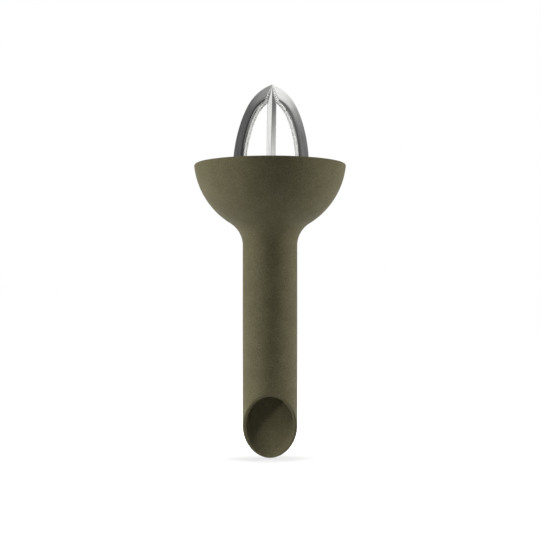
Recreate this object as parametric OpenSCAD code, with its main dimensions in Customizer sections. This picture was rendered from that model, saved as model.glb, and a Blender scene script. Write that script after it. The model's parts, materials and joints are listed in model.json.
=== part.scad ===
// Hand-held citrus reamer: a moulded bowl that runs into a hollow round handle,
// with a pip strainer on a shelf inside it and three pressed steel arms moulded into the strainer.
// +Z points up the handle to the reamer's tip, and the spout opens to -Y.
// The origin is on the handle's axis at the middle of the grip.

/* [Bowl] */
// Radius of the ball that the bowl's outside is part of
bowl_r = 40.5; // [38:0.1:44]
// Height of that ball's centre over the rim
ball_rise = 3.4; // [1:0.1:6]
// Wall of the bowl and the handle
wall = 2; // [1.6:0.1:2.4]
// Radius of the hollow curve between bowl and handle
neck_r = 14; // [11:0.5:17]

/* [Handle] */
// Outer radius of the round grip
grip_r = 14.5; // [13:0.1:16]
// Height of the rim over the middle of the grip
rim_h = 85; // [80:0.5:95]
// Depth of the spout's lowest point under the rim
body_len = 157.8; // [150:0.1:170]
// Slope of the spout's cut, in degrees from level
spout_slope = 51.8; // [40:0.1:55]

/* [Seat] */
// Radius of the strainer, which settles how deep in the bowl its shelf is
plate_r = 27.7; // [26.5:0.1:29.5]
// Height of the shelf's straight inner wall
shelf_h = 3; // [2.5:0.1:3.4]
// Gap all round between the strainer and the bowl
seat_gap = 0.3; // [0.2:0.05:0.5]
// Width of the key notches in the shelf
notch_w = 5.6; // [4:0.1:8]
// Depth of the key notches in the shelf
notch_h = 1.6; // [1.2:0.1:2]
// Metal left between a notch and the bowl's ball-shaped inside
notch_skin = 0.3; // [0.2:0.05:0.6]

/* [Strainer] */
// Thickness of the strainer's plate
plate_t = 2.4; // [2:0.1:3]
// Width of one drain slot
slot_w = 1.8; // [1.4:0.1:2.2]
// Distance from one drain slot to the next
slot_pitch = 3.4; // [3:0.1:4]
// Radius of the innermost drain slot
slot_first_r = 8; // [7:0.5:9]
// Plate left outside the outermost drain slot, at the least
slot_margin = 4; // [3:0.5:6]
// Height of the sockets over the plate
socket_h = 4; // [3:0.1:6]
// Wall of the sockets round the arms' feet
socket_wall = 1.6; // [1.2:0.1:2]
// Gap round each foot in its socket
foot_gap = 0.05; // [0.02:0.01:0.1]
// Plate left under the arms' feet
foot_floor = 0.8; // [0.6:0.1:1.2]
// Width of the ribs under the plate
rib_w = 2; // [1.6:0.1:3]
// Depth of the ribs under the plate
rib_h = 3; // [2:0.1:3.2]
// Gap between the ends of the ribs and the shelf
rib_gap = 4; // [2:0.5:8]

/* [Arms] */
// Height of the reamer's tip over the rim
tip_rise = 42.65; // [40:0.05:46]
// Distance from the strainer's edge in to an arm's ridge
foot_inset = 3.9; // [3.4:0.1:5]
// Slope of the ridge at the tip, in degrees from level
tip_slope = 11.6; // [10:0.1:14]
// Slope of the ridge where the upper bend ends
upper_slope = 57.6; // [54:0.1:60]
// Slope of the ridge where the middle bend ends
middle_slope = 68.6; // [66:0.1:72]
// Width of an arm at its widest
arm_w = 5.1; // [4.8:0.1:5.4]
// Depth of an arm's channel, from its ridge to its open side
arm_depth = 7; // [6.5:0.05:7.5]
// Width across an arm's open side in the bowl
arm_mouth_w = 3.7; // [3.5:0.1:4.2]
// Thickness of the pressed steel sheet
sheet_t = 1.1; // [0.8:0.05:1.2]

/* [Hidden] */
$fn = 96;
olive = [0.40, 0.38, 0.29];
steel = [0.78, 0.78, 0.77];
// How far cutting shapes run past what they cut
overrun = 5;

// The body's outline: one ball, one hollow curve and one straight tube
ball_z = rim_h + ball_rise;
bore_r = grip_r - wall;
inner_r = bowl_r - wall;
spout_z = rim_h - body_len;
neck_x = grip_r + neck_r;
neck_drop = sqrt(pow(bowl_r + neck_r, 2) - pow(neck_x, 2));
neck_z = ball_z - neck_drop;
rim_lip_r = wall / 2;
rim_mid_r = bowl_r - rim_lip_r;
rim_lip_x = sqrt(pow(rim_mid_r, 2) - pow(ball_rise + rim_lip_r, 2));

// The shelf and its notches
shelf_outer_r = plate_r + seat_gap;
shelf_z = ball_z - sqrt(pow(inner_r, 2) - pow(shelf_outer_r, 2));
shelf_r = sqrt(pow(inner_r, 2) - pow(ball_z - shelf_z + shelf_h, 2));
notch_r = sqrt(pow(inner_r, 2) - pow(ball_z - shelf_z + notch_h, 2)) - notch_skin;
key_turns = [30, 150, 270];

// The strainer's sizes that follow from the seat and the arms
rib_len = shelf_r - rib_gap;
slot_count = 1 + floor((plate_r - slot_margin - slot_w / 2 - slot_first_r) / slot_pitch);
plate_top_z = shelf_z + plate_t;
foot_z = shelf_z + foot_floor;
key_w = notch_w - 2 * seat_gap;
key_h = notch_h - seat_gap;
key_r = notch_r - seat_gap;
spoke_half_w = arm_w / 2 + socket_wall + seat_gap;

// The ridge's three bends, each tangent to the next, from the tip outwards
upper_share = 0.343;
middle_share = 0.677;
reach_share = 1 - (1 - middle_share) * sin(middle_slope)
    - (middle_share - upper_share) * sin(upper_slope) - upper_share * sin(tip_slope);
ridge_r = plate_r - foot_inset;
lower_r = ridge_r / reach_share;
middle_r = lower_r * middle_share;
upper_r = lower_r * upper_share;
tip_z = rim_h + tip_rise;
upper_c = [-upper_r * sin(tip_slope), tip_z - upper_r * cos(tip_slope)];
middle_c = upper_c + (upper_r - middle_r) * [sin(upper_slope), cos(upper_slope)];
lower_c = middle_c + (middle_r - lower_r) * [sin(middle_slope), cos(middle_slope)];
front_turn = -90;
sector = 120;
upright = 90;
upper_steps = 16;
middle_steps = 4;
lower_steps = 8;
ring_slopes = [
    for (i = [0:upper_steps - 1])
        tip_slope + (upper_slope - tip_slope) * i / upper_steps,
    for (i = [0:middle_steps - 1])
        upper_slope + (middle_slope - upper_slope) * i / middle_steps,
    for (i = [0:lower_steps])
        middle_slope + (upright - middle_slope) * i / lower_steps
];

// The channel's side as shares of its depth: open at the tip, turned in at its edge further down
side_steps = 6;
bulge_share = 0.8;
side_power_share = 0.85;
across_share = 1.15;
across_t = sheet_t * across_share;

// The ball, cut off square to its wall where the rim's round lip begins
module ball_outline() {
    reach = bowl_r + overrun;
    intersection() {
        translate([0, ball_z])
            circle(r = bowl_r);
        polygon([
            [0, neck_z],
            [reach, neck_z],
            [reach, ball_z - reach * (ball_rise + rim_lip_r) / rim_lip_x],
            [0, ball_z]
        ]);
    }
}

// The hollow curve under a ball of radius r, and the tube, for the outside or the inside
module neck_outline(r, tube_r, from_z) {
    curve_r = neck_x - tube_r;
    to_ball = r / (bowl_r + neck_r);
    difference() {
        polygon([
            [0, neck_z],
            [neck_x, neck_z],
            [neck_x * to_ball, ball_z - neck_drop * to_ball],
            [0, ball_z - neck_drop * to_ball]
        ]);
        translate([neck_x, neck_z])
            circle(r = curve_r);
    }
    translate([0, from_z])
        square([tube_r, neck_z - from_z]);
}

// What the bowl holds: the inside, less the shelf that the strainer rests on
module hollow_outline() {
    difference() {
        union() {
            translate([0, ball_z])
                circle(r = inner_r);
            neck_outline(inner_r, bore_r, spout_z - overrun);
        }
        translate([shelf_r, shelf_z - shelf_h - overrun])
            square([bowl_r, shelf_h + overrun]);
    }
}

// One key notch, or the key that drops into it
module key_block(inner, outer, w, h) {
    translate([inner, -w / 2, shelf_z - h])
        cube([outer - inner, w, h + overrun]);
}

module body() {
    color(olive)
    difference() {
        rotate_extrude() {
            difference() {
                union() {
                    ball_outline();
                    neck_outline(bowl_r, grip_r, spout_z);
                }
                hollow_outline();
            }
            translate([rim_lip_x, rim_h - rim_lip_r])
                circle(r = rim_lip_r);
        }
        for (turn = key_turns)
            rotate([0, 0, turn])
                key_block(0, notch_r, notch_w, notch_h);
        translate([0, grip_r, spout_z])
            rotate([-spout_slope, 0, 0])
                translate([-bowl_r, -body_len, -body_len])
                    cube([2 * bowl_r, body_len + overrun, body_len]);
    }
}

// Point on the ridge where it has the slope given, in the plane of +X and +Z
function ridge_point(slope) =
    let (out = [sin(slope), cos(slope)])
    slope <= upper_slope ? upper_c + upper_r * out :
    slope <= middle_slope ? middle_c + middle_r * out :
    lower_c + lower_r * out;

// How far the section has changed from the open one at the tip to the one with turned-in edges
function turned_share(slope) = min(1, (slope - tip_slope) / (upper_slope - tip_slope));

// Half the channel's width at a share of its depth
function half_width(share, turned) =
    let (
        open = arm_w / 2 * pow(share, side_power_share),
        past = (share - bulge_share) / (1 - bulge_share),
        closed = share < bulge_share
            ? arm_w / 2 * pow(share / bulge_share, side_power_share)
            : arm_w / 2 - (arm_w - arm_mouth_w) / 2 * pow(past, 2)
    )
    open + (closed - open) * turned;

// One skin of the channel from its +Y edge over the ridge to its -Y edge, as depth and width.
// It starts at a share of the depth, lies inside the outer skin by inset and is grown by the gap
function skin(turned, first_share, inset, gap) = [
    for (i = [-side_steps:side_steps])
        let (
            share = first_share + (1 - first_share) * abs(i) / side_steps,
            edge_gap = abs(i) == side_steps ? abs(gap) : 0,
            ridge_gap = i == 0 ? gap : 0,
            width = i == 0 ? 0 : half_width(share, turned) - inset + gap
        )
        [share * arm_depth + edge_gap - ridge_gap, i < 0 ? width : -width]
];

// Share of the depth at which the channel's inside begins
function inside_share(turned) =
    let (open = pow(2 * across_t / arm_w, 1 / side_power_share))
    open + (open * bulge_share - open) * turned;

function reversed(list) = [for (i = [1:len(list)]) list[len(list) - i]];

// The sheet's closed section, grown all round by the gap given
function arm_section(turned, gap) = concat(
    skin(turned, 0, 0, gap),
    reversed(skin(turned, inside_share(turned), across_t, -gap))
);

// Section points carried to the ridge at the slope given
function ring(slope) =
    let (at = ridge_point(slope), inward = [-sin(slope), -cos(slope)])
    [for (p = arm_section(turned_share(slope), 0))
        [at[0] + p[0] * inward[0], p[1], at[1] + p[0] * inward[1]]];

// One pressed arm out along +X, mitred at the axis where it meets its neighbours
module arm() {
    reach = ridge_r + overrun;
    foot_ring = [for (p = arm_section(1, 0)) [ridge_r - p[0], p[1], foot_z]];
    rings = [for (slope = ring_slopes) ring(slope), foot_ring];
    sides = len(foot_ring);
    last = len(rings) - 1;
    intersection() {
        polyhedron(
            points = [for (r = rings) for (p = r) p],
            faces = [
                for (i = [0:2 * side_steps - 1])
                    [i, i + 1, sides - 2 - i, sides - 1 - i],
                for (i = [0:2 * side_steps - 1])
                    [for (n = [sides - 1 - i, sides - 2 - i, i + 1, i]) last * sides + n],
                for (k = [0:last - 1])
                    for (i = [0:sides - 1])
                        let (j = (i + 1) % sides)
                        for (f = [
                            [k * sides + i, (k + 1) * sides + i, (k + 1) * sides + j],
                            [k * sides + i, (k + 1) * sides + j, k * sides + j]
                        ])
                            f
            ]
        );
        translate([0, 0, foot_z - overrun])
            linear_extrude(height = tip_z - foot_z + 2 * overrun)
                polygon([
                    [0, 0],
                    [reach, -reach * tan(sector / 2)],
                    [reach, reach * tan(sector / 2)]
                ]);
    }
}

module arm_front() {
    color(steel)
        rotate([0, 0, front_turn])
            arm();
}

module arm_left() {
    color(steel)
        rotate([0, 0, front_turn - sector])
            arm();
}

module arm_right() {
    color(steel)
        rotate([0, 0, front_turn + sector])
            arm();
}

// One drain slot as an arc with round ends, centred on +X
module drain_slot(r) {
    half_turn = sector / 2 - asin((spoke_half_w + slot_w / 2) / r);
    rotate([0, 0, -half_turn])
        rotate_extrude(angle = 2 * half_turn)
            translate([r - slot_w / 2, shelf_z - overrun])
                square([slot_w, plate_t + 2 * overrun]);
    for (side = [-1, 1])
        rotate([0, 0, side * half_turn])
            translate([r, 0, shelf_z - overrun])
                cylinder(h = plate_t + 2 * overrun, r = slot_w / 2);
}

// Socket round one arm's foot, out along +X, with a wall behind the channel's open side
module socket() {
    translate([ridge_r, 0, foot_z])
        mirror([1, 0, 0])
            linear_extrude(height = plate_top_z + socket_h - foot_z) {
                polygon(skin(1, 0, 0, socket_wall));
                translate([arm_depth * bulge_share, -arm_w / 2])
                    square([arm_depth * (1 - bulge_share) + socket_wall, arm_w]);
            }
}

module foot_cut() {
    translate([ridge_r, 0, foot_z])
        mirror([1, 0, 0])
            linear_extrude(height = plate_t + socket_h + overrun)
                polygon(arm_section(1, foot_gap));
}

module strainer() {
    color(olive)
    difference() {
        union() {
            translate([0, 0, shelf_z])
                cylinder(h = plate_t, r = plate_r);
            for (turn = [0:sector:360 - sector])
                rotate([0, 0, front_turn + turn]) {
                    socket();
                    translate([0, -rib_w / 2, shelf_z - rib_h])
                        cube([rib_len, rib_w, rib_h + plate_t]);
                }
            for (turn = key_turns)
                rotate([0, 0, turn])
                    intersection() {
                        key_block(rib_len, key_r, key_w, key_h);
                        translate([0, 0, shelf_z - rib_h])
                            cylinder(h = rib_h + plate_t, r = plate_r);
                    }
        }
        for (turn = [0:sector:360 - sector]) {
            rotate([0, 0, front_turn + turn])
                foot_cut();
            rotate([0, 0, front_turn + sector / 2 + turn])
                for (i = [0:slot_count - 1])
                    drain_slot(slot_first_r + i * slot_pitch);
        }
    }
}

body();
strainer();
arm_front();
arm_left();
arm_right();
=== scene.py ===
import json
import math
import bmesh
import bpy
from mathutils import Matrix, Vector


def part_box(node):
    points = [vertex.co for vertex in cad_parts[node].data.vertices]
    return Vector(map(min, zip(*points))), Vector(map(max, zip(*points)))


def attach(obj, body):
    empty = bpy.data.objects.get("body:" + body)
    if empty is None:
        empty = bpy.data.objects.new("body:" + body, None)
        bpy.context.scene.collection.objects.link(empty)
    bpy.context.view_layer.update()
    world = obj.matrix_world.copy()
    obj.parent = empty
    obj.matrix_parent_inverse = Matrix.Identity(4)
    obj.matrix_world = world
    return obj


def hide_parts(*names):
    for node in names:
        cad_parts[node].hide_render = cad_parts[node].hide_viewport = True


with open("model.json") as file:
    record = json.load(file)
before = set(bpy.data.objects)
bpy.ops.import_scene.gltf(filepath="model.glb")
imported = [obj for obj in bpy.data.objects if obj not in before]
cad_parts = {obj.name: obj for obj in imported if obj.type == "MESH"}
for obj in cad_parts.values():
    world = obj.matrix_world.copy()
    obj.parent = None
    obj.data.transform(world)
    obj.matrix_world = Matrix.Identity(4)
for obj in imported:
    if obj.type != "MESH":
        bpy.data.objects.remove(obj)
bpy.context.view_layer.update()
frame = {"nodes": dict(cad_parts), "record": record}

bodyLow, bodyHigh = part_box("body")
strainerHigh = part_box("strainer")[1]
armLow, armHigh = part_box("arm_front")
footZ = armLow[2]
gripRadius = frame["record"]["mounts"][0]["dims"]["r_mm"] / 1000
rimZ = bodyHigh[2]
spoutZ = bodyLow[2]
tipZ = armHigh[2]
print("frame loaded, rim at", round(rimZ, 4), "tip at", round(tipZ, 4))


# node graphs: a Wire takes part in sums, a Graph makes the nodes

class Wire:
    def __init__(self, graph, socket):
        self.graph = graph
        self.socket = socket

    def combine(self, operation, first, second):
        return self.graph.node("ShaderNodeMath", {"operation": operation}, {0: first, 1: second})

    def __add__(self, other):
        return self.combine("ADD", self, other)

    def __radd__(self, other):
        return self.combine("ADD", other, self)

    def __sub__(self, other):
        return self.combine("SUBTRACT", self, other)

    def __rsub__(self, other):
        return self.combine("SUBTRACT", other, self)

    def __mul__(self, other):
        return self.combine("MULTIPLY", self, other)


class Graph:
    def __init__(self, tree):
        self.tree = tree
        tree.nodes.clear()

    def node(self, kind, settings=None, inputs=None, output=0):
        made = self.tree.nodes.new(kind)
        for name, value in (settings or {}).items():
            setattr(made, name, value)
        for key, value in (inputs or {}).items():
            if isinstance(value, Wire):
                self.tree.links.new(value.socket, made.inputs[key])
            else:
                made.inputs[key].default_value = value
        return Wire(self, made.outputs[output]) if len(made.outputs) else made

    def outputs(self, kind, names, settings=None, inputs=None):
        first = self.node(kind, settings, inputs)
        found = first.socket.node.outputs
        return [Wire(self, found[name]) for name in names]

    def greater(self, first, second):
        return self.node("ShaderNodeMath", {"operation": "MAXIMUM"}, {0: first, 1: second})

    def vector(self, operation, first, second):
        return self.node("ShaderNodeVectorMath", {"operation": operation}, {0: first, 1: second})

    def length(self, vector):
        return self.node("ShaderNodeVectorMath", {"operation": "LENGTH"}, {0: vector}, 1)

    def noise(self, vector, scale, detail=2.0, roughness=0.5, distortion=0.0):
        return self.node("ShaderNodeTexNoise", {"noise_dimensions": "3D"}, {
            "Vector": vector, "Scale": scale, "Detail": detail,
            "Roughness": roughness, "Distortion": distortion})

    def spread(self, value, low, high, outLow=0.0, outHigh=1.0):
        return self.node("ShaderNodeMapRange", {"interpolation_type": "SMOOTHSTEP"}, {
            "Value": value, "From Min": low, "From Max": high, "To Min": outLow, "To Max": outHigh})

    def mixColour(self, factor, first, second):
        return self.node("ShaderNodeMix", {"data_type": "RGBA"}, {0: factor, 6: first, 7: second}, 2)


def opaque(colour):
    return (*colour, 1)


def blend(wire, start, end):
    # start where the wire is 0 and end where it is 1
    return wire * (end - start) + start


def blendWires(factor, first, second):
    return first + (second - first) * factor


def sinOf(degrees):
    return math.sin(math.radians(degrees))


def cosOf(degrees):
    return math.cos(math.radians(degrees))


def newMaterial(name):
    material = bpy.data.materials.new(name)
    material.use_nodes = True
    return material, Graph(material.node_tree)


# moulded olive plastic

# each noise is scale, detail, roughness and distortion
olivePlasticSettings = {
    "light": (0.133, 0.123, 0.071),
    "dark": (0.084, 0.075, 0.042),
    "brown": (0.117, 0.106, 0.060),
    "speckleNoise": (1900, 3.0, 0.6),
    "mottleNoise": (130, 2.0, 0.5, 0.4),
    "grainNoise": (2600, 2.0, 0.7),
    "brownRange": (0.35, 0.68),
    "darkRange": (0.62, 0.36),
    "roughness": 0.62,
    "grainRough": 0.16,
    "mottleRough": 0.08,
    "grainDepth": 0.00006,
    "grainShare": 0.6,
    "bumpStrength": 0.5,
    "refraction": 1.5,
    "gloss": 0.1,
    "insertTone": 0.97,
}


def olivePlastic(name, tone=1.0):
    s = olivePlasticSettings
    material, g = newMaterial(name)
    place = g.node("ShaderNodeTexCoord", output=3)
    speckle = g.noise(place, *s["speckleNoise"])
    mottle = g.noise(place, *s["mottleNoise"])
    grain = g.noise(place, *s["grainNoise"])
    light, dark, brown = (tuple(tone * c for c in s[shade]) for shade in ("light", "dark", "brown"))
    base = g.mixColour(g.spread(mottle, *s["brownRange"]), opaque(light), opaque(brown))
    colour = g.mixColour(g.spread(speckle, *s["darkRange"]), base, opaque(dark))
    smoothest = s["roughness"] - (s["grainRough"] + s["mottleRough"]) / 2
    rough = grain * s["grainRough"] + mottle * s["mottleRough"] + smoothest
    height = grain * s["grainShare"] + speckle * (1 - s["grainShare"])
    bump = g.node("ShaderNodeBump", None, {
        "Strength": s["bumpStrength"], "Distance": s["grainDepth"], "Height": height})
    shader = g.node("ShaderNodeBsdfPrincipled", None, {
        "Base Color": colour, "Roughness": rough, "Normal": bump,
        "IOR": s["refraction"], "Specular IOR Level": s["gloss"]})
    g.node("ShaderNodeOutputMaterial", None, {"Surface": shader})
    return material


# brushed steel, with streaks that follow the arm, and painted light on the cut edges and inside the channel

brushedSteelSettings = {
    "bright": (0.94, 0.94, 0.93),
    "dull": (0.66, 0.66, 0.65),
    "acrossScale": 34,
    "alongScale": 1.1,
    "bandAcross": 6.8,
    "bandAlong": 0.66,
    "streakNoise": (1.0, 5.0, 0.6, 0.2),
    "bandNoise": (1.0, 3.0, 0.55, 0.6),
    "streakShare": 0.6,
    "brightRange": (0.3, 0.62),
    "roughness": 0.17,
    "streakRough": 0.14,
    "bandRough": 0.10,
    "edgeRough": 0.3,
    "innerRough": 0.3,
    # edgeMatt and innerMatt take metal away so the light colour shows: on the edges partly a painted
    # highlight, inside the channel painted light over its shade
    "edgeMatt": 0.6,
    "innerMatt": 0.8,
    "streakDepth": 0.000006,
    "streakHeight": 0.7,
    "bandHeight": 0.6,
    "bumpStrength": 0.35,
    # light colour of the cut edges, partly real sheared steel and partly a painted highlight, and of the
    # channel's inside, where it is painted light over the channel's shade
    "sheared": (0.93, 0.93, 0.92),
    # the channel's inside glows faintly: painted light, though no lamp is there
    "insidePaintedGlow": 0.12,
}


def brushedSteel(name):
    s = brushedSteelSettings
    material, g = newMaterial(name)
    along = g.node("ShaderNodeUVMap", {"uv_map": "brushing"})
    stretched = g.node("ShaderNodeMapping", None, {
        "Vector": along, "Scale": (s["acrossScale"], s["alongScale"], 1)})
    streaks = g.noise(stretched, *s["streakNoise"])
    wideStretch = g.node("ShaderNodeMapping", None, {
        "Vector": along, "Scale": (s["bandAcross"], s["bandAlong"], 1)})
    bands = g.noise(wideStretch, *s["bandNoise"])
    shine = g.spread(streaks * s["streakShare"] + bands * (1 - s["streakShare"]), *s["brightRange"])
    brushed = g.mixColour(shine, opaque(s["dull"]), opaque(s["bright"]))
    # 1 on the sheet's cut edges, and 1 inside the channel, where it fades out towards the tip; the edges'
    # light colour is partly real sheared steel and partly a painted highlight, and inside the channel the
    # light colour and glow are painted light over the channel's shade
    edge = g.node("ShaderNodeAttribute", {"attribute_name": "sheared"}, None, 2)
    inner = g.node("ShaderNodeAttribute", {"attribute_name": "inner"}, None, 2)
    edgeOrPaintedInside = g.greater(edge, inner)
    colour = g.mixColour(edgeOrPaintedInside, brushed, opaque(s["sheared"]))
    smoothest = s["roughness"] - (s["streakRough"] + s["bandRough"]) / 2
    rough = streaks * s["streakRough"] + bands * s["bandRough"]
    rough = rough + edge * s["edgeRough"] + inner * s["innerRough"] + smoothest
    bump = g.node("ShaderNodeBump", None, {
        "Strength": s["bumpStrength"], "Distance": s["streakDepth"],
        "Height": streaks * s["streakHeight"] + bands * s["bandHeight"]})
    plain = g.node("ShaderNodeNewGeometry", output=1)
    facing = g.node("ShaderNodeMix", {"data_type": "VECTOR"}, {0: edgeOrPaintedInside, 4: bump, 5: plain}, 1)
    # the emission inside the channel is painted light that lifts the channel's shade
    shader = g.node("ShaderNodeBsdfPrincipled", None, {
        "Base Color": colour, "Metallic": 1.0 - inner * s["innerMatt"] - edge * s["edgeMatt"],
        "Roughness": rough, "Normal": facing,
        "Emission Color": inner * s["insidePaintedGlow"], "Emission Strength": 1.0})
    g.node("ShaderNodeOutputMaterial", None, {"Surface": shader})
    return material


olive = olivePlastic("moulded olive plastic")
oliveInsert = olivePlastic("moulded olive plastic, insert", olivePlasticSettings["insertTone"])
steel = brushedSteel("brushed steel")
print("materials made")


# mesh helpers

def meshObject(name, points, faces, material):
    mesh = bpy.data.meshes.new(name)
    mesh.from_pydata(points, [], faces)
    mesh.validate()
    mesh.materials.append(material)
    piece = bpy.data.objects.new(name, mesh)
    bpy.context.scene.collection.objects.link(piece)
    return piece


def bake(piece):
    graph = bpy.context.evaluated_depsgraph_get()
    mesh = bpy.data.meshes.new_from_object(piece.evaluated_get(graph))
    old = piece.data
    piece.modifiers.clear()
    piece.data = mesh
    bpy.data.meshes.remove(old)


def remove(piece):
    mesh = piece.data
    bpy.data.objects.remove(piece)
    bpy.data.meshes.remove(mesh)


def carve(piece, tool, operation):
    cut = piece.modifiers.new("cut", "BOOLEAN")
    cut.operation = operation
    cut.solver = "EXACT"
    cut.object = tool
    bake(piece)
    remove(tool)


def smoothBy(piece, degrees):
    piece.data.polygons.foreach_set("use_smooth", [True] * len(piece.data.polygons))
    piece.data.set_sharp_from_angle(angle=math.radians(degrees))


def arc(centre, radius, start, end, steps):
    turns = [start + (end - start) * i / steps for i in range(steps + 1)]
    return [(centre[0] + radius * cosOf(turn), centre[1] + radius * sinOf(turn)) for turn in turns]


# bowl, neck and handle in one moulding

vesselSettings = {
    "bowlRadius": 0.0405,
    "ballRise": 0.0034,
    "wall": 0.002,
    "neckRadius": 0.014,
    "spoutRise": 0.03685,
    "lipRadius": 0.0009,
    "innerLip": 0.0007,
    "seatGap": 0.0003,
    "shelfHeight": 0.003,
    "shelfEdge": 0.0003,
    "notchWidth": 0.0056,
    "notchDepth": 0.0016,
    "notchSkin": 0.0003,
    "notchTurns": (30, 150, 270),
    "notchStart": 0.015,
    "overrun": 0.001,
    "settleSteps": 20,
    "segments": 192,
    "tubeRows": 26,
    "neckSteps": 20,
    "outerBallSteps": 32,
    "rimSteps": 14,
    "innerBallSteps": 24,
    "shelfSteps": 3,
    "edgeSteps": 4,
    "underSteps": 10,
    "lipSteps": 7,
    "smoothAngle": 32,
}


def otherSide(long, short):
    # the third side of a right-angled triangle
    return math.sqrt(long ** 2 - short ** 2)


def vesselSizes():
    s = vesselSettings
    d = dict(s)
    d["ballZ"] = rimZ + s["ballRise"]
    d["boreRadius"] = gripRadius - s["wall"]
    d["innerRadius"] = s["bowlRadius"] - s["wall"]
    d["neckX"] = gripRadius + s["neckRadius"]
    d["neckDrop"] = otherSide(s["bowlRadius"] + s["neckRadius"], d["neckX"])
    d["neckZ"] = d["ballZ"] - d["neckDrop"]
    d["rimLip"] = s["wall"] / 2
    d["rimLipX"] = otherSide(s["bowlRadius"] - d["rimLip"], s["ballRise"] + d["rimLip"])
    d["shelfOuter"] = strainerHigh[0] + s["seatGap"]
    shelfDrop = otherSide(d["innerRadius"], d["shelfOuter"])
    d["shelfZ"] = d["ballZ"] - shelfDrop
    d["shelfRadius"] = otherSide(d["innerRadius"], shelfDrop + s["shelfHeight"])
    d["notchRadius"] = otherSide(d["innerRadius"], shelfDrop + s["notchDepth"]) - s["notchSkin"]
    return d


def vesselProfile(d):
    # one outline from the neck's foot outside, over the rim, to the neck's foot inside
    neckCentre = (d["neckX"], d["neckZ"])
    ballCentre = (0, d["ballZ"])
    meet = math.degrees(math.atan2(d["neckDrop"], -d["neckX"]))
    ballStart = meet - 180
    rimEnd = math.degrees(math.atan2(-(d["ballRise"] + d["rimLip"]), d["rimLipX"]))
    outside = arc(neckCentre, d["neckRadius"], 180, meet, d["neckSteps"])
    outside += arc(ballCentre, d["bowlRadius"], ballStart, rimEnd, d["outerBallSteps"])[1:]
    rim = arc((d["rimLipX"], rimZ - d["rimLip"]), d["rimLip"], rimEnd, 180 + rimEnd, d["rimSteps"])[1:]
    shelfAngle = math.degrees(math.asin((d["shelfZ"] - d["ballZ"]) / d["innerRadius"]))
    inside = arc(ballCentre, d["innerRadius"], rimEnd, shelfAngle, d["innerBallSteps"])[1:]
    edge = d["shelfEdge"]
    flatEnd = d["shelfRadius"] + edge
    for i in range(1, d["shelfSteps"]):
        inside.append((flatEnd + (d["shelfOuter"] - flatEnd) * (1 - i / d["shelfSteps"]), d["shelfZ"]))
    inside += arc((flatEnd, d["shelfZ"] - edge), edge, 90, 180, d["edgeSteps"])
    underDrop = d["shelfZ"] - d["shelfHeight"] - d["ballZ"]
    underAngle = math.degrees(math.asin(underDrop / d["innerRadius"]))
    inside += arc(ballCentre, d["innerRadius"], underAngle, ballStart, d["underSteps"])
    inside += arc(neckCentre, d["neckX"] - d["boreRadius"], meet, 180, d["neckSteps"])[1:]
    return outside + rim + inside


def spoutLip(d, turn):
    # both corners of the slanted end rounded, in the plane through the axis at this turn
    climb = -math.sin(turn) * d["spoutSlope"]

    def endZ(r):
        return d["spoutEndZ"] + (gripRadius - r * math.sin(turn)) * d["spoutSlope"]

    length = math.sqrt(1 + climb ** 2)
    across = (-1 / length, -climb / length)
    corner = math.acos(across[1])
    outerMiss = d["lipRadius"] / math.tan(corner / 2)
    innerMiss = d["innerLip"] * math.tan(corner / 2)
    points = []
    steps = d["lipSteps"]
    faceNormal = math.atan2(across[0], -across[1])  # away from the wall, square to the cut
    for r, radius, miss, outer in ((gripRadius, d["lipRadius"], outerMiss, True),
                                   (d["boreRadius"], d["innerLip"], innerMiss, False)):
        centreR = r - radius if outer else r + radius
        centreZ = endZ(r) + miss
        start, end = (0.0, faceNormal) if outer else (faceNormal, -math.pi)
        for i in range(steps + 1):
            a = start + (end - start) * i / steps
            points.append((centreR + radius * math.cos(a), centreZ + radius * math.sin(a)))
    return points


def settleSpout(d):
    # the rounded lip takes its own share of the length, so the sharp cut starts a little lower
    slope = d["spoutRise"] / (2 * gripRadius)
    for _ in range(d["settleSteps"]):
        drop = d["lipRadius"] * (slope + math.sqrt(1 + slope ** 2) - 1)
        slope = (d["spoutRise"] + drop) / (2 * gripRadius)
    d["spoutSlope"] = slope
    d["spoutEndZ"] = spoutZ - drop


def notchTool(d, turn):
    half = d["notchWidth"] / 2
    box = [(x, y, z) for x in (d["notchStart"], d["notchRadius"]) for y in (-half, half)
           for z in (d["shelfZ"] - d["notchDepth"], d["shelfZ"] + d["overrun"])]
    spin = Matrix.Rotation(math.radians(turn), 4, "Z")
    return meshObject("notch", [spin @ Vector(p) for p in box], [
        (0, 1, 3, 2), (4, 6, 7, 5), (0, 4, 5, 1), (2, 3, 7, 6), (0, 2, 6, 4), (1, 5, 7, 3)], olive)


def makeVessel():
    d = vesselSizes()
    settleSpout(d)
    profile = vesselProfile(d)
    segments = d["segments"]
    tubeShares = [i / d["tubeRows"] for i in range(1, d["tubeRows"])]
    points = []
    for k in range(segments):
        turn = 2 * math.pi * k / segments
        lipPoints = spoutLip(d, turn)
        outerZ, innerZ = lipPoints[0][1], lipPoints[-1][1]
        outerTube = [(gripRadius, outerZ + (d["neckZ"] - outerZ) * share) for share in tubeShares]
        innerTube = [(d["boreRadius"], d["neckZ"] + (innerZ - d["neckZ"]) * share) for share in tubeShares]
        column = outerTube + profile + innerTube + lipPoints[::-1]
        points += [(r * math.cos(turn), r * math.sin(turn), z) for r, z in column]
    rows = len(column)
    faces = []
    for k in range(segments):
        n = (k + 1) % segments
        for i in range(rows):
            j = (i + 1) % rows
            faces.append((k * rows + i, n * rows + i, n * rows + j, k * rows + j))
    vessel = meshObject("vessel", points, faces, olive)
    for turn in d["notchTurns"]:
        carve(vessel, notchTool(d, turn), "DIFFERENCE")
    smoothBy(vessel, d["smoothAngle"])
    return vessel


vessel = makeVessel()
print("vessel made,", len(vessel.data.polygons), "faces")


# reamer: one pressed arm, repeated round the axis

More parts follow.
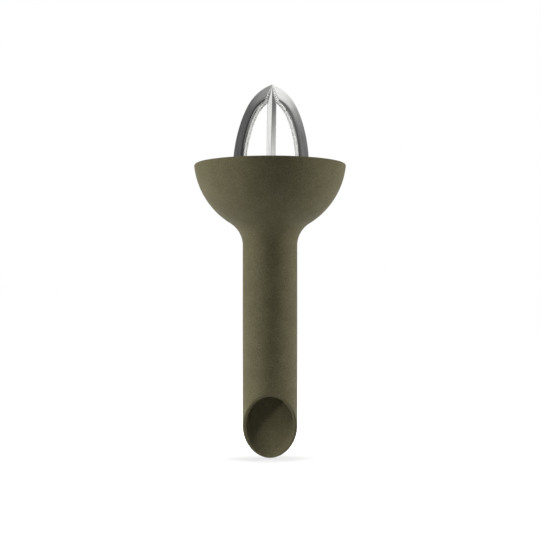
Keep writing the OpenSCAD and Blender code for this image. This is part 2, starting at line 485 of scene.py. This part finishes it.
reamerSettings = {
    "upperShare": 0.343,
    "middleShare": 0.677,
    "tipSlope": 11.6,
    "upperSlope": 57.6,
    "middleSlope": 68.6,
    "startSlope": 2.0,
    "footInset": 0.0039,
    "armWidth": 0.0049,
    "armDepth": 0.0074,
    "mouthWidth": 0.0036,
    "flankRise": 1.32,
    "flankPower": 0.95,
    "turnPower": 8,
    "sheet": 0.0014,
    "edgeRound": 0.0002,
    "nose": 0.00007,
    "insideNose": 0.00015,
    "mitreGap": 0.16,
    "cutEdge": 0.0002,
    "lean": 0.0165,
    "offset": 0.0002,
    "offsetRise": 0.006,
    "rings": 84,
    "innerFade": 40,
    "flankSamples": 160,
    "noseStep": 0.00001,
    "noseSteps": 6,
    "edgeSteps": 6,
    "outsideSteps": 20,
    "insideSteps": 18,
    "uvScale": 100,
    "mergeGap": 0.000004,
    "sliverGap": 0.000002,
    "mitreReach": 0.05,
    "mitreOverrun": 0.002,
    "onCutGap": 0.00001,
    "onCutTurn": 0.3,
    "bevelSteps": 2,
    "smoothAngle": 40,
    "firstTurn": -90,
    "armCount": 3,
}


def outwards(slope):
    # the way out from a bend's centre to where the ridge has this slope
    return Vector((sinOf(slope), cosOf(slope)))


def reamerSizes():
    d = dict(reamerSettings)
    reach = (1 - (1 - d["middleShare"]) * sinOf(d["middleSlope"])
             - (d["middleShare"] - d["upperShare"]) * sinOf(d["upperSlope"])
             - d["upperShare"] * sinOf(d["tipSlope"]))
    d["ridgeRadius"] = strainerHigh[0] - d["footInset"]
    d["lowerRadius"] = d["ridgeRadius"] / reach
    d["middleRadius"] = d["lowerRadius"] * d["middleShare"]
    d["upperRadius"] = d["lowerRadius"] * d["upperShare"]
    d["upperCentre"] = Vector((0, tipZ)) - d["upperRadius"] * outwards(d["tipSlope"])
    d["middleCentre"] = (d["upperCentre"]
                         + (d["upperRadius"] - d["middleRadius"]) * outwards(d["upperSlope"]))
    d["lowerCentre"] = (d["middleCentre"]
                        + (d["middleRadius"] - d["lowerRadius"]) * outwards(d["middleSlope"]))
    d["halfSector"] = 180 / d["armCount"]
    return d


def ridgePoint(d, slope):
    if slope <= d["upperSlope"]:
        return d["upperCentre"] + d["upperRadius"] * outwards(slope)
    if slope <= d["middleSlope"]:
        return d["middleCentre"] + d["middleRadius"] * outwards(slope)
    return d["lowerCentre"] + d["lowerRadius"] * outwards(slope)


def halfWidth(d, share, bulging):
    wide = d["armWidth"] / 2
    rise = wide * (1 + (d["flankRise"] - 1) * bulging)
    turnIn = (rise - d["mouthWidth"] / 2) * bulging
    return rise * share ** d["flankPower"] - turnIn * share ** d["turnPower"]


def resample(line, count):
    lengths = [0.0]
    for a, b in zip(line, line[1:]):
        lengths.append(lengths[-1] + (b - a).length)
    result = []
    j = 0
    for i in range(count + 1):
        want = lengths[-1] * i / count
        while j < len(line) - 2 and lengths[j + 1] < want:
            j += 1
        span = lengths[j + 1] - lengths[j]
        result.append(line[j].lerp(line[j + 1], (want - lengths[j]) / span if span else 0))
    return result


def armSection(d, bulging):
    # half of the sheet's section as (width, depth): outside from the nose to the edge, then inside
    nose = d["nose"]
    samples = d["flankSamples"]
    flank = [Vector((halfWidth(d, i / samples, bulging), d["armDepth"] * i / samples))
             for i in range(samples + 1)]
    centre = nose
    while min((p - Vector((0, centre))).length for p in flank) < nose:
        centre += d["noseStep"]
    middle = Vector((0, centre))
    touch = min(range(len(flank)), key=lambda i: (flank[i] - middle).length)
    reachAngle = math.atan2(flank[touch][0], centre - flank[touch][1])
    turns = [reachAngle * i / d["noseSteps"] for i in range(d["noseSteps"] + 1)]
    bend = [middle + nose * Vector((math.sin(turn), -math.cos(turn))) for turn in turns]
    rest = resample([bend.pop()] + flank[touch + 1:], d["outsideSteps"])
    shift = Vector((0, centre - nose))
    outside = [p - shift for p in bend + rest]
    sheet = d["sheet"]
    clear = [p - Vector((sheet, 0)) - shift for p in flank if p[0] > sheet + d["insideNose"]]
    inside = [Vector((0, clear[0][1] - d["insideNose"] / 2))] + resample(clear, d["insideSteps"])
    middleOfEdge = (outside[-1] + inside[-1]) / 2
    rounded = []
    for i in range(1, d["edgeSteps"]):
        turn = math.pi * i / d["edgeSteps"]
        rounded.append(middleOfEdge + Vector((sheet / 2 * math.cos(turn), d["edgeRound"] * math.sin(turn))))
    return outside, rounded, inside


def armRings(d):
    # the section carried down the ridge, as (distance down the ridge, points) for each ring
    slopes = [d["startSlope"] + (90 - d["startSlope"]) * i / (d["rings"] - 1) for i in range(d["rings"])]
    places = [(ridgePoint(d, slope), -outwards(slope), slope) for slope in slopes]
    places.append((Vector((d["ridgeRadius"], footZ)), Vector((-1, 0)), 90))
    rings = []
    run = 0.0
    lastRidge = places[0][0]
    for ridge, inward, slope in places:
        bulging = min(1.0, max(0.0, (slope - d["tipSlope"]) / (d["upperSlope"] - d["tipSlope"])))
        outside, rounded, inside = armSection(d, bulging)
        loop = [(1, p) for p in reversed(outside)] + [(-1, p) for p in outside[1:]]
        loop += [(-1, p) for p in rounded]
        loop += [(-1, p) for p in reversed(inside)] + [(1, p) for p in inside[1:]]
        loop += [(1, p) for p in reversed(rounded)]
        run += (ridge - lastRidge).length
        lastRidge = ridge
        ring = []
        for side, p in loop:
            at = ridge + inward * p[1]
            ring.append((at[0], side * p[0], at[1]))
        rings.append((run, ring))
    return rings, 2 * len(outside) - 1, len(rounded)


def measureArm(d, mesh, rings):
    # across and along in steps of 10 mm, for the streaks
    sides = len(rings[0][1])
    layer = mesh.uv_layers.new(name="brushing")
    measures = []
    for run, ring in rings:
        across = [0.0]
        for a, b in zip(ring, ring[1:]):
            across.append(across[-1] + (Vector(b) - Vector(a)).length)
        measures.append((run, across))
    for loop in mesh.loops:
        run, across = measures[loop.vertex_index // sides]
        layer.data[loop.index].uv = (across[loop.vertex_index % sides] * d["uvScale"], run * d["uvScale"])


def markArm(d, mesh, sides, outerCount, edgeCount):
    # the sheet's cut edges, and the channel's inside, which carry the finish's painted highlight and
    # painted light
    sheared = mesh.attributes.new("sheared", "FLOAT", "FACE")
    inner = mesh.attributes.new("inner", "FLOAT", "FACE")
    nearEdge = set(range(outerCount - 1, outerCount + edgeCount + 1))
    farEdge = set(range(sides - edgeCount - 1, sides)) | {0}
    for face in mesh.polygons:
        if len(face.vertices) == 4:
            spots = {index % sides for index in face.vertices}
            onEdge = spots <= nearEdge or spots <= farEdge
            down = min(1.0, min(face.vertices) / sides / d["innerFade"])
            sheared.data[face.index].value = 1.0 if onEdge else 0.0
            inner.data[face.index].value = down if min(spots) > outerCount and not onEdge else 0.0


def makeArm(d):
    rings, outerCount, edgeCount = armRings(d)
    sides = len(rings[0][1])
    points = [p for run, ring in rings for p in ring]
    faces = []
    for k in range(len(rings) - 1):
        for i in range(sides):
            j = (i + 1) % sides
            faces.append((k * sides + i, (k + 1) * sides + i, (k + 1) * sides + j, k * sides + j))
    faces.append(tuple(range(sides)))
    faces.append(tuple((len(rings) - 1) * sides + i for i in reversed(range(sides))))
    arm = meshObject("arm", points, faces, steel)
    measureArm(d, arm.data, rings)
    markArm(d, arm.data, sides, outerCount, edgeCount)
    mesh = bmesh.new()
    mesh.from_mesh(arm.data)
    bmesh.ops.remove_doubles(mesh, verts=mesh.verts, dist=d["mergeGap"])
    bmesh.ops.recalc_face_normals(mesh, faces=mesh.faces)
    mesh.to_mesh(arm.data)
    mesh.free()
    return arm


def mitreWedge(d):
    # keeps this arm's third, with a gap to the next arm that opens from the tip downwards
    reach = d["mitreReach"]
    points = []
    for z in (footZ - d["mitreOverrun"], tipZ + d["mitreOverrun"]):
        gap = d["mitreGap"] * (tipZ - z)
        apex = gap / sinOf(d["halfSector"])
        side = (reach - apex) * math.tan(math.radians(d["halfSector"]))
        points += [(apex, 0, z), (reach, -side, z), (reach, side, z)]
    return meshObject("mitre", points, [
        (0, 2, 1), (3, 4, 5), (0, 1, 4, 3), (1, 2, 5, 4), (2, 0, 3, 5)], steel)


def onMitre(d, face):
    middle = face.calc_center_median()
    across = middle.x * sinOf(d["halfSector"]) - abs(middle.y) * cosOf(d["halfSector"])
    close = abs(across - d["mitreGap"] * (tipZ - middle.z)) < d["onCutGap"]
    return close and abs(face.normal.y) > d["onCutTurn"]


def finishMitres(arm, d):
    # the cut faces are bare sheared steel with their edges broken; their light colour is partly a painted
    # highlight
    mesh = bmesh.new()
    mesh.from_mesh(arm.data)
    bmesh.ops.remove_doubles(mesh, verts=mesh.verts, dist=d["mergeGap"])
    bmesh.ops.dissolve_degenerate(mesh, edges=mesh.edges, dist=d["sliverGap"])
    sheared = mesh.faces.layers.float["sheared"]
    weight = mesh.edges.layers.float.new("bevel_weight_edge")
    cut = {face for face in mesh.faces if onMitre(d, face)}
    for face in cut:
        face[sheared] = 1.0
    for edge in mesh.edges:
        if len(edge.link_faces) == 2 and sum(face in cut for face in edge.link_faces) == 1:
            edge[weight] = 1.0
    mesh.to_mesh(arm.data)
    mesh.free()
    edges = arm.modifiers.new("edges", "BEVEL")
    edges.width = d["cutEdge"]
    edges.segments = d["bevelSteps"]
    edges.limit_method = "WEIGHT"
    bake(arm)


def ringTree():
    # repeats a shape round the axis
    tree = bpy.data.node_groups.new("round the axis", "GeometryNodeTree")
    tree.interface.new_socket("Shape", in_out="INPUT", socket_type="NodeSocketGeometry")
    tree.interface.new_socket("Count", in_out="INPUT", socket_type="NodeSocketInt")
    tree.interface.new_socket("First Turn", in_out="INPUT", socket_type="NodeSocketFloat")
    tree.interface.new_socket("Finish", in_out="INPUT", socket_type="NodeSocketMaterial")
    tree.interface.new_socket("Shape", in_out="OUTPUT", socket_type="NodeSocketGeometry")
    g = Graph(tree)
    entry = tree.nodes.new("NodeGroupInput")
    shape, count, firstTurn, finish = (Wire(g, entry.outputs[i]) for i in range(4))
    spots = g.node("GeometryNodePoints", None, {"Count": count})
    index = g.node("GeometryNodeInputIndex")
    step = g.node("ShaderNodeMath", {"operation": "DIVIDE"}, {0: 2 * math.pi, 1: count})
    turn = g.node("ShaderNodeCombineXYZ", None, {"Z": index * step + firstTurn})
    placed = g.node("GeometryNodeInstanceOnPoints", None, {
        "Points": spots, "Instance": shape, "Rotation": turn})
    solid = g.node("GeometryNodeRealizeInstances", None, {"Geometry": placed})
    finished = g.node("GeometryNodeSetMaterial", None, {"Geometry": solid, "Material": finish})
    tree.links.new(finished.socket, tree.nodes.new("NodeGroupOutput").inputs[0])
    return tree


def makeReamer():
    d = reamerSizes()
    arm = makeArm(d)
    carve(arm, mitreWedge(d), "INTERSECT")
    finishMitres(arm, d)
    smoothBy(arm, d["smoothAngle"])
    tree = ringTree()
    repeat = arm.modifiers.new("repeat", "NODES")
    repeat.node_group = tree
    inputs = {item.name: item.identifier for item in tree.interface.items_tree if item.in_out == "INPUT"}
    repeat[inputs["Count"]] = d["armCount"]
    repeat[inputs["First Turn"]] = math.radians(d["firstTurn"])
    repeat[inputs["Finish"]] = steel
    bake(arm)
    socketZ = strainerHigh[2]
    for vertex in arm.data.vertices:  # the arms stand a touch to the right in the sockets
        over = max(0.0, vertex.co.z - socketZ)
        vertex.co.x += d["lean"] * over + d["offset"] * min(1.0, over / d["offsetRise"])
    arm.name = "reamer"
    arm.data.name = "reamer"
    return arm


reamer = makeReamer()
print("reamer made,", len(reamer.data.polygons), "faces")


# the strainer keeps its frame node, with the plastic's own finish

strainer = frame["nodes"]["strainer"]
strainer.material_slots[0].material = oliveInsert
print("strainer finished")


# floor, light and camera

studioSettings = {
    "floorSize": 4.0,
    # dimFloor darkens the floor right under the spout, painted shade there, and far off; floorGlow and the
    # shade keys set the oval of painted contact shadow
    "dimFloor": (0.38, 0.38, 0.38),
    "brightFloor": (0.90, 0.90, 0.90),
    "ringStart": (0.03, 0.08),
    "ringEnd": (0.15, 0.32),
    "floorGlow": 0.557,
    "shadeAt": (0.0, -0.010, 0.0),
    "shadeShape": (23, 29, 0),
    "shadeRange": (0.2, 1.1),
    "frontRange": (0.0, -0.06),
    "frontFloor": (0.12, 0.12, 0.12),
    "frontGlowAcross": (0.02, -0.08),
    "frontGlowRight": 0.10,
    "frontGlowLeft": 0.28,
    "cameraReach": 0.6,
    "cameraDrop": 0.06994,
    "sensorWidth": 36,
    "lens": 75.23,
    "shiftY": 0.0485,
    "clipStart": 0.01,
}


def makeFloor():
    s = studioSettings
    material, g = newMaterial("studio floor")
    camera, glossy = g.outputs("ShaderNodeLightPath", ("Is Camera Ray", "Is Glossy Ray"))
    place = g.node("ShaderNodeTexCoord", output=3)
    x, y = g.outputs("ShaderNodeSeparateXYZ", ("X", "Y"), None, {"Vector": place})
    # the steel mirrors the floor dim on the camera's side
    front = g.spread(y, *s["frontRange"]) * glossy
    frontGlow = g.spread(x, *s["frontGlowAcross"], s["frontGlowRight"], s["frontGlowLeft"])
    away = g.length(g.vector("MULTIPLY", place, (1, 1, 0)))
    # the floor's own colour is dark right under the spout, a painted shade there, bright in a ring round it
    # that bounces light onto the object, and dim far off
    ring = g.spread(away, *s["ringStart"]) - g.spread(away, *s["ringEnd"])
    colour = g.mixColour(ring, opaque(s["dimFloor"]), opaque(s["brightFloor"]))
    colour = g.mixColour(front, colour, opaque(s["frontFloor"]))
    matt = g.node("ShaderNodeBsdfDiffuse", None, {"Color": colour})
    # the floor glows white but for an oval under the spout, where the object's shade shows; the oval is
    # also dimmer by itself, a painted contact shadow
    shaped = g.vector("MULTIPLY", g.vector("ADD", place, s["shadeAt"]), s["shadeShape"])
    level = g.spread(g.length(shaped), *s["shadeRange"], s["floorGlow"], 1.0)
    level = blendWires(front, level, frontGlow)
    glow = g.node("ShaderNodeEmission", None, {
        "Color": (1, 1, 1, 1), "Strength": g.greater(camera, glossy) * level})
    both = g.node("ShaderNodeAddShader", None, {0: matt, 1: glow})
    g.node("ShaderNodeOutputMaterial", None, {"Surface": both})
    half = s["floorSize"] / 2
    corners = [(-half, -half, spoutZ), (half, -half, spoutZ), (half, half, spoutZ), (-half, half, spoutZ)]
    floor = meshObject("floor", corners, [(0, 1, 2, 3)], material)


roomSettings = {
    "fill": 0.12,
    "rightRange": (-0.4, 0.5),
    "behindRange": (0.42, 0.6),
    "behindLeft": 0.90,
    "behindRight": 0.80,
    "behindDip": 0.64,
    "dipRange": (0.08, 0.3),
    "topRightRange": (-0.5, 0.1),
    "aboveStart": 0.34,
    "aboveBehind": 0.1,
    "aboveRightStart": 0.12,
    "aboveEnd": 0.95,
    "aboveRightEnd": 0.3,
    "aboveLeft": 0.62,
    "aboveRight": 1.0,
    "sideRange": (-0.9, 0.1),
    "sideLeft": 0.11,
    "sideRight": 0.18,
    "centreFromRight": (0.15, -0.1),
    "centreToLeft": (-0.3, -0.55),
    "centreGlow": 0.05,
    "cameraRightRange": (0.2, 0.55),
    "cameraGlow": 0.10,
    "cameraSide": 0.02,
}


def makeWorld():
    s = roomSettings
    world = bpy.data.worlds.new("studio")
    world.use_nodes = True
    bpy.context.scene.world = world
    g = Graph(world.node_tree)
    camera, glossy = g.outputs("ShaderNodeLightPath", ("Is Camera Ray", "Is Glossy Ray"))
    direction = g.node("ShaderNodeTexCoord")
    x, y, z = g.outputs("ShaderNodeSeparateXYZ", ("X", "Y", "Z"), None, {"Vector": direction})
    # what the steel mirrors: white behind, dim towards the camera, lighter from above
    rightwards = g.spread(x, *s["rightRange"])
    behind = g.spread(y, *s["behindRange"])
    topRight = g.spread(x, *s["topRightRange"])
    aboveStart = behind * s["aboveBehind"] + s["aboveStart"]
    aboveStart = aboveStart - topRight * (1.0 - behind) * s["aboveRightStart"]
    above = g.spread(z, aboveStart, s["aboveEnd"] - topRight * s["aboveRightEnd"])
    sides = blend(rightwards, s["sideLeft"], s["sideRight"])
    lowRight = s["behindRight"] - g.spread(z, *s["dipRange"]) * s["behindDip"]
    rear = rightwards * (lowRight - s["behindLeft"]) + s["behindLeft"]
    top = blend(topRight, s["aboveLeft"], s["aboveRight"])
    centre = g.spread(x, *s["centreFromRight"]) - g.spread(x, *s["centreToLeft"])
    forward = centre * s["centreGlow"] + g.spread(x, *s["cameraRightRange"]) * s["cameraGlow"]
    sides = blendWires(g.spread(y, *s["sideRange"]), forward + s["cameraSide"], sides)
    mirrored = blendWires(above, blendWires(behind, sides, rear), top)
    room = blendWires(glossy, mirrored * s["fill"], mirrored)
    light = g.node("ShaderNodeBackground", None, {
        "Color": (1, 1, 1, 1), "Strength": g.greater(camera, room)})
    g.node("ShaderNodeOutputWorld", None, {"Surface": light})


lampSettings = {
    "left soft box": {
        "at": (-0.75, -0.12, 0.12), "target": (0, 0, 0.02), "width": 0.4, "height": 0.8, "energy": 10.7},
    "right soft box": {
        "at": (0.75, 0.01, 0.12), "target": (0, 0, 0.02), "width": 0.4, "height": 0.8, "energy": 9.0},
    "top soft box": {
        "at": (0, 0.1, 0.95), "target": (0, 0, 0.05), "width": 0.9, "height": 0.9, "energy": 2.5},
    "low soft box": {
        "at": (-0.36, -0.55, 0.01), "target": (0.008, 0, spoutZ - 0.025), "width": 0.06, "height": 0.06,
        "energy": 0.0175, "beam": 9},
}


def areaLamp(name, at, target, width, height, energy, beam=180):
    lamp = bpy.data.lights.new(name, "AREA")
    lamp.shape = "RECTANGLE"
    lamp.size = width
    lamp.size_y = height
    lamp.energy = energy
    lamp.spread = math.radians(beam)
    holder = bpy.data.objects.new(name, lamp)
    holder.location = at
    holder.rotation_euler = (Vector(target) - Vector(at)).to_track_quat("-Z", "Y").to_euler()
    holder.visible_glossy = False  # the room's own levels are what the steel mirrors
    bpy.context.scene.collection.objects.link(holder)


def makeCamera():
    s = studioSettings
    camera = bpy.data.objects.new("camera", bpy.data.cameras.new("camera"))
    camera.data.sensor_width = s["sensorWidth"]
    camera.data.lens = s["lens"]
    camera.data.shift_y = s["shiftY"]
    camera.data.clip_start = s["clipStart"]
    camera.location = (0, -s["cameraReach"], rimZ - s["cameraDrop"])
    camera.rotation_euler = (math.radians(90), 0, 0)
    bpy.context.scene.collection.objects.link(camera)
    bpy.context.scene.camera = camera


def makeStudio():
    makeFloor()
    makeWorld()
    for name, lamp in lampSettings.items():
        areaLamp(name, **lamp)
    makeCamera()
    bpy.context.scene.view_settings.view_transform = "Standard"


makeStudio()
print("studio made")

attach(vessel, "vessel")
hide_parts("body")
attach(reamer, "insert")
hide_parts("arm_front", "arm_left", "arm_right")
